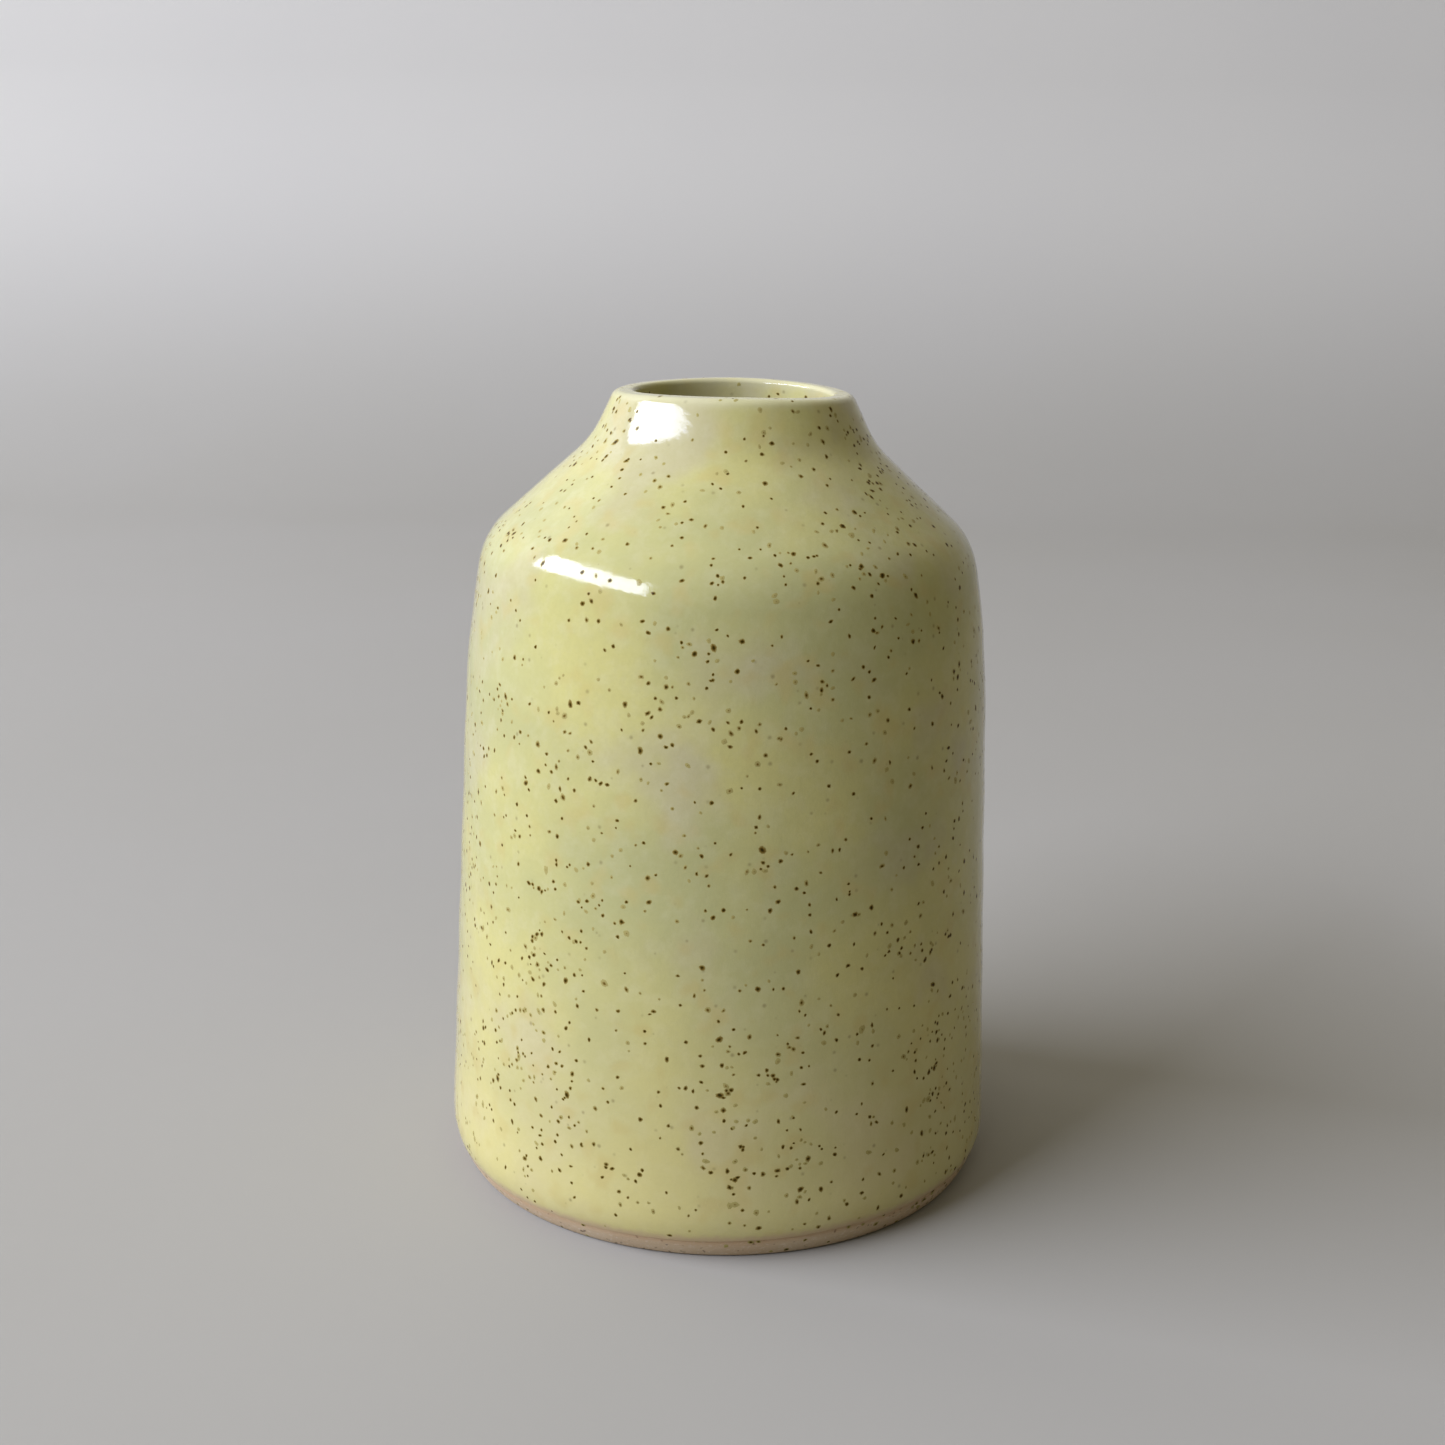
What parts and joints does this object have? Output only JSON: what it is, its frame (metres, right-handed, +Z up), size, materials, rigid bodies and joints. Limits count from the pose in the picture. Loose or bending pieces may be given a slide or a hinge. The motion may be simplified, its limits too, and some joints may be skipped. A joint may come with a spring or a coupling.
{
  "type": "ceramic bud vase",
  "caption": "Small thrown stoneware bud vase with a near-straight wall, sloping shoulder and narrow mouth, glazed pale yellow-green with iron specks over a bare clay foot.",
  "frame": {"origin": "centre of the foot, on the plane that the foot ring stands on", "axes": "+Z up along the axis that the vase is turned about; X and Y are level and alike"},
  "size_m": [0.064, 0.064, 0.09],
  "materials": {
    "bare_stoneware": "fired bare clay, matte and slightly gritty",
    "speckled_glaze": "semi-gloss pale yellow-green glaze with dark iron specks",
    "liner_glaze": "semi-gloss pale yellow-green glaze with dark iron specks"
  },
  "bodies": {
    "root": {"stoneware_body": "bare_stoneware", "outer_glaze": "speckled_glaze", "liner_glaze": "liner_glaze"}
  },
  "joints": []
}
